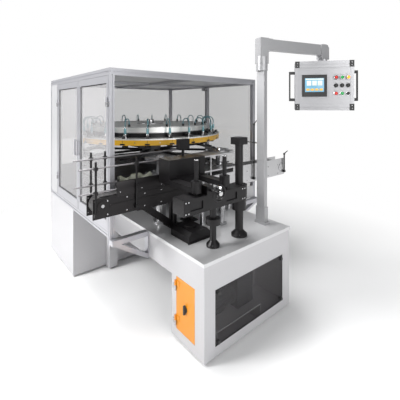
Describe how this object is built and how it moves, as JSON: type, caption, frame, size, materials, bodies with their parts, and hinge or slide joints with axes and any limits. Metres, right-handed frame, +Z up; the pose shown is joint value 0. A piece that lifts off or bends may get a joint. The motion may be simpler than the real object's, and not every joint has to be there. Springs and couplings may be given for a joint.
{
  "type": "rotary leak testing machine",
  "caption": "Rotary leak tester: turret of sealing heads over a round table, star wheels and conveyor, glazed guard, base cabinets, swing-arm control box.",
  "frame": {"origin": "centre of the bounding box on the floor", "axes": "+X along the conveyor in the direction of product flow, +Y from the operator to the back, +Z up"},
  "size_m": [2.384, 2.7092, 2.308],
  "materials": {
    "cabinet_paint": "warm grey powder coat",
    "clear_panel": "clear plastic",
    "black_plastic": "matte",
    "motor_paint": "satin",
    "grey_sheet": "satin",
    "stainless": "brushed",
    "profile": "anodised",
    "tinted_panel": "tinted clear panel",
    "hinge_steel": "satin",
    "pole_paint": "satin grey",
    "dark_metal": "black anodised",
    "belt": "satin",
    "door_yellow": "gloss",
    "rim_yellow": "painted",
    "white_coat": "white coated",
    "seal": "matte",
    "hose": "satin",
    "screw_plastic": "matte",
    "wheel_metal": "polished",
    "red_cap": "gloss",
    "green_cap": "gloss"
  },
  "bodies": {
    "machine": {"front_cabinet": "cabinet_paint", "window_panel": "clear_panel", "window_knobs": "black_plastic", "gear_motor": "motor_paint", "cabinet_fittings": "grey_sheet", "table_top": "stainless", "bridge_body": "cabinet_paint", "rear_cabinet": "cabinet_paint", "levelling_feet": "black_plastic", "enclosure_frame": "profile", "fixed_panes": "tinted_panel", "sheet_panels": "grey_sheet", "corner_brackets": "profile", "door_hardware": "hinge_steel", "pole": "pole_paint", "infeed_frame": "dark_metal", "outfeed_frame": "stainless", "conveyor_belts": "belt", "guide_rails": "stainless", "rail_posts": "dark_metal", "columns": "dark_metal", "cross_beam": "dark_metal", "table_gearbox": "dark_metal", "air_cylinders": "stainless", "turret_base": "dark_metal", "centre_guide": "stainless"},
    "service_door": {"service_door": "door_yellow"},
    "door_latch": {"door_latch": "black_plastic"},
    "left_front_door": {"left_front_door": "profile", "left_front_pane": "tinted_panel"},
    "left_rear_door": {"left_rear_door": "profile", "left_rear_pane": "tinted_panel"},
    "turret": {"turret_hub": "dark_metal", "head_ring": "rim_yellow", "head_plate": "white_coat", "test_heads": "hinge_steel", "seal_cones": "seal", "clamp_knobs": "black_plastic", "air_drum": "white_coat", "valve_blocks": "dark_metal", "air_hoses": "hose", "container_plate": "dark_metal"},
    "infeed_star": {"infeed_star": "stainless"},
    "outfeed_star": {"outfeed_star": "stainless"},
    "timing_screw": {"timing_screw": "screw_plastic"},
    "infeed_roller": {"infeed_roller": "hinge_steel"},
    "outfeed_roller": {"outfeed_roller": "hinge_steel"},
    "guide_head": {"guide_head": "dark_metal"},
    "handwheel": {"handwheel": "wheel_metal"},
    "inner_lever": {"inner_lever": "black_plastic"},
    "outer_lever": {"outer_lever": "black_plastic"},
    "swing_arm": {"swing_arm": "pole_paint"},
    "control_box": {"control_box": "pole_paint", "box_trim": "black_plastic"},
    "selector_1": {"selector_1": "black_plastic"},
    "selector_2": {"selector_2": "black_plastic"},
    "selector_3": {"selector_3": "black_plastic"},
    "stop_button": {"stop_button": "red_cap"},
    "start_button": {"start_button": "green_cap"},
    "reset_button": {"reset_button": "black_plastic"}
  },
  "joints": [
    {"name": "service_door_hinge", "type": "hinge", "parent": "machine", "child": "service_door", "pos_m": [-0.6, -0.77637, 0.274], "axis": [0, 0, -1], "range_deg": [0, 110]},
    {"name": "latch_turn", "type": "hinge", "parent": "service_door", "child": "door_latch", "pos_m": [-0.592, -0.88869, 0.274], "axis": [1, 0, 0], "range_deg": [0, 90]},
    {"name": "left_front_door_hinge", "type": "hinge", "parent": "machine", "child": "left_front_door", "pos_m": [-0.92, -0.29937, 1.3], "axis": [0, 0, 1], "range_deg": [0, 90]},
    {"name": "left_rear_door_hinge", "type": "hinge", "parent": "machine", "child": "left_rear_door", "pos_m": [-0.92, 1.05863, 1.3], "axis": [0, 0, -1], "range_deg": [0, 110]},
    {"name": "turret_spin", "type": "hinge", "parent": "machine", "child": "turret", "pos_m": [-0.041, 0.51363, 1.03], "axis": [0, 0, -1], "continuous": true},
    {"name": "infeed_star_spin", "type": "hinge", "parent": "machine", "child": "infeed_star", "pos_m": [-0.4043, -0.28188, 1.1], "axis": [0, 0, 1], "continuous": true},
    {"name": "outfeed_star_spin", "type": "hinge", "parent": "machine", "child": "outfeed_star", "pos_m": [0.3223, -0.28188, 1.1], "axis": [0, 0, 1], "continuous": true},
    {"name": "timing_screw_spin", "type": "hinge", "parent": "machine", "child": "timing_screw", "pos_m": [-0.70185, -0.35243, 1.12], "axis": [1, 0, 0], "continuous": true},
    {"name": "infeed_roller_spin", "type": "hinge", "parent": "machine", "child": "infeed_roller", "pos_m": [-1.026, -0.41643, 0.993], "axis": [0, 1, 0], "continuous": true},
    {"name": "outfeed_roller_spin", "type": "hinge", "parent": "machine", "child": "outfeed_roller", "pos_m": [1.122, -0.41643, 0.993], "axis": [0, 1, 0], "continuous": true},
    {"name": "guide_head_lift", "type": "slide", "parent": "machine", "child": "guide_head", "axis": [0, 0, 1], "range_m": [0, 0.08]},
    {"name": "handwheel_turn", "type": "hinge", "parent": "machine", "child": "handwheel", "pos_m": [-0.457, -1.00037, 1.115], "axis": [0, -1, 0], "range_deg": [-5, 2890]},
    {"name": "inner_lever_turn", "type": "hinge", "parent": "machine", "child": "inner_lever", "pos_m": [0.626, -0.49543, 1.505], "axis": [0, 0, 1], "range_deg": [-90, 90]},
    {"name": "outer_lever_turn", "type": "hinge", "parent": "machine", "child": "outer_lever", "pos_m": [1.176, -0.49543, 1.135], "axis": [0, 0, 1], "range_deg": [-90, 90]},
    {"name": "arm_swing", "type": "hinge", "parent": "machine", "child": "swing_arm", "pos_m": [0.255, -0.89237, 2.2], "axis": [0, 0, 1], "range_deg": [-110, 15]},
    {"name": "box_swivel", "type": "hinge", "parent": "swing_arm", "child": "control_box", "pos_m": [0.94711, -1.09083, 2.142], "axis": [0, 0, 1], "range_deg": [-60, 60]},
    {"name": "selector_1_turn", "type": "hinge", "parent": "control_box", "child": "selector_1", "pos_m": [0.94713, -1.22379, 1.905], "axis": [-0.7986, -0.6018, 0], "range_deg": [-45, 45]},
    {"name": "selector_2_turn", "type": "hinge", "parent": "control_box", "child": "selector_2", "pos_m": [0.97909, -1.2662, 1.905], "axis": [-0.7986, -0.6018, 0], "range_deg": [-45, 45]},
    {"name": "selector_3_turn", "type": "hinge", "parent": "control_box", "child": "selector_3", "pos_m": [1.01104, -1.3086, 1.905], "axis": [-0.7986, -0.6018, 0], "range_deg": [-45, 45]},
    {"name": "stop_button_press", "type": "slide", "parent": "control_box", "child": "stop_button", "axis": [0.7986, 0.6018, 0], "range_m": [0, 0.005], "stiffness_N_per_m": 300, "springref_m": -0.003},
    {"name": "start_button_press", "type": "slide", "parent": "control_box", "child": "start_button", "axis": [0.7986, 0.6018, 0], "range_m": [0, 0.005], "stiffness_N_per_m": 300, "springref_m": -0.003},
    {"name": "reset_button_press", "type": "slide", "parent": "control_box", "child": "reset_button", "axis": [0.7986, 0.6018, 0], "range_m": [0, 0.005], "stiffness_N_per_m": 300, "springref_m": -0.003}
  ],
  "couplings": [
    {"joint": "infeed_star_spin", "follows": "turret_spin", "ratio": 5.5},
    {"joint": "outfeed_star_spin", "follows": "turret_spin", "ratio": 5.5},
    {"joint": "timing_screw_spin", "follows": "turret_spin", "ratio": 22},
    {"joint": "infeed_roller_spin", "follows": "turret_spin", "ratio": 12.333},
    {"joint": "outfeed_roller_spin", "follows": "turret_spin", "ratio": 12.333},
    {"joint": "handwheel_turn", "follows": "guide_head_lift", "rad_per_m": 628.32}
  ]
}
